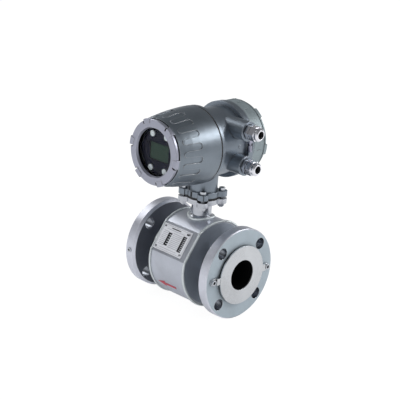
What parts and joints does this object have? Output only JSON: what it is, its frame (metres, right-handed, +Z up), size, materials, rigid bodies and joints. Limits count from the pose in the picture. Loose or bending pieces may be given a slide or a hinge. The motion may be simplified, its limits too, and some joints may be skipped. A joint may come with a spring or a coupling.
{
  "type": "electromagnetic flow meter",
  "caption": "Flanged electromagnetic flow meter: round coil jacket on a lined tube, and a neck-mounted transmitter with a display window, screw covers and cable glands",
  "frame": {"origin": "on the pipe axis, at the middle of the measuring tube", "axes": "+X along the pipe axis towards the inlet flange, +Z up through the neck, -Y towards the viewer of the display window"},
  "size_m": [0.2, 0.1946, 0.332],
  "materials": {
    "tube_steel": "drawn stainless tube",
    "liner_rubber": "moulded hard rubber",
    "flange_steel": "turned steel, satin",
    "ring_steel": "brushed stainless",
    "fastener_steel": "bright stainless",
    "jacket_steel": "brushed stainless sheet",
    "end_plate_paint": "dark slate paint, satin",
    "weld_steel": "bright weld metal",
    "nameplate_metal": "satin anodised plate",
    "arrow_paint": "red enamel",
    "coil_copper": "enamelled copper winding",
    "core_iron": "soft iron",
    "electrode_metal": "polished alloy",
    "insulator_plastic": "moulded insulator",
    "gasket_rubber": "black rubber",
    "neck_steel": "satin stainless",
    "housing_paint": "grey powder coat, satin",
    "front_cover_paint": "grey powder coat, satin",
    "rear_cover_paint": "grey powder coat, satin",
    "lock_steel": "satin steel",
    "window_glass": "clear toughened glass",
    "retainer_paint": "black paint",
    "panel_plastic": "dark navy moulded panel",
    "lcd_screen": "unlit green liquid-crystal screen",
    "panel_screw_metal": "pale anodised screw",
    "board_laminate": "solder-masked laminate",
    "standoff_brass": "plain brass",
    "terminal_plastic": "black moulded block",
    "harness_jacket": "black cable sheath",
    "gland_nickel": "nickel-plated brass"
  },
  "bodies": {
    "meter": {"measuring_tube": "tube_steel", "tube_liner": "liner_rubber", "inlet_flange": "flange_steel", "outlet_flange": "flange_steel", "ground_ring_inlet": "ring_steel", "ground_ring_outlet": "ring_steel", "ring_screws_inlet": "fastener_steel", "ring_screws_outlet": "fastener_steel", "earth_screw": "fastener_steel", "coil_jacket": "jacket_steel", "jacket_end_inlet": "end_plate_paint", "jacket_end_outlet": "end_plate_paint", "weld_beads": "weld_steel", "nameplate": "nameplate_metal", "nameplate_rivets": "fastener_steel", "flow_arrow": "arrow_paint", "coil_upper": "coil_copper", "coil_lower": "coil_copper", "pole_shoe_upper": "core_iron", "pole_shoe_lower": "core_iron", "coil_yoke": "core_iron", "electrodes": "electrode_metal", "electrode_seals": "insulator_plastic", "electrode_nuts": "fastener_steel", "neck_tube": "neck_steel", "neck_gasket": "gasket_rubber", "neck_screws": "fastener_steel", "neck_nuts": "fastener_steel", "transmitter_housing": "housing_paint", "cover_lock_clamp": "lock_steel", "cover_lock_screw": "fastener_steel", "display_panel": "panel_plastic", "lcd_module": "lcd_screen", "panel_screws": "panel_screw_metal", "display_board": "board_laminate", "display_standoffs": "standoff_brass", "amplifier_board": "board_laminate", "board_standoffs": "standoff_brass", "terminal_block": "terminal_plastic", "terminal_screws": "standoff_brass", "inner_earth_screw": "standoff_brass", "signal_harness": "harness_jacket", "gland_washers": "gasket_rubber", "gland_body_upper": "gland_nickel", "gland_body_lower": "gland_nickel"},
    "front_seal": {"front_cover_seal": "gasket_rubber"},
    "front_cover": {"front_cover": "front_cover_paint", "window_gasket": "gasket_rubber", "window_glass": "window_glass", "window_retainer": "retainer_paint"},
    "rear_seal": {"rear_cover_seal": "gasket_rubber"},
    "rear_cover": {"rear_cover": "rear_cover_paint"},
    "upper_insert": {"gland_insert_upper": "gasket_rubber"},
    "upper_nut": {"gland_nut_upper": "gland_nickel"},
    "lower_insert": {"gland_insert_lower": "gasket_rubber"},
    "lower_nut": {"gland_nut_lower": "gland_nickel"}
  },
  "joints": [
    {"name": "front_cover_travel", "type": "slide", "parent": "meter", "child": "front_seal", "axis": [0, -1, 0], "range_m": [0, 0.0181]},
    {"name": "front_cover_turn", "type": "hinge", "parent": "front_seal", "child": "front_cover", "pos_m": [0, -0.07, 0.1944], "axis": [0, -1, 0], "range_deg": [0, 3240]},
    {"name": "rear_cover_travel", "type": "slide", "parent": "meter", "child": "rear_seal", "axis": [0, 1, 0], "range_m": [0, 0.0161]},
    {"name": "rear_cover_turn", "type": "hinge", "parent": "rear_seal", "child": "rear_cover", "pos_m": [0, 0.06, 0.1944], "axis": [0, 1, 0], "range_deg": [0, 2880]},
    {"name": "upper_nut_travel", "type": "slide", "parent": "meter", "child": "upper_insert", "axis": [1, 0, 0], "range_m": [0, 0.0046]},
    {"name": "upper_nut_turn", "type": "hinge", "parent": "upper_insert", "child": "upper_nut", "pos_m": [0.09, 0.016, 0.2274], "axis": [1, 0, 0], "range_deg": [0, 1080]},
    {"name": "lower_nut_travel", "type": "slide", "parent": "meter", "child": "lower_insert", "axis": [1, 0, 0], "range_m": [0, 0.0046]},
    {"name": "lower_nut_turn", "type": "hinge", "parent": "lower_insert", "child": "lower_nut", "pos_m": [0.09, 0.016, 0.1714], "axis": [1, 0, 0], "range_deg": [0, 1080]}
  ],
  "couplings": [
    {"joint": "front_cover_travel", "follows": "front_cover_turn", "m_per_rad": 0.00031831},
    {"joint": "rear_cover_travel", "follows": "rear_cover_turn", "m_per_rad": 0.00031831},
    {"joint": "upper_nut_travel", "follows": "upper_nut_turn", "m_per_rad": 0.00023873},
    {"joint": "lower_nut_travel", "follows": "lower_nut_turn", "m_per_rad": 0.00023873}
  ]
}
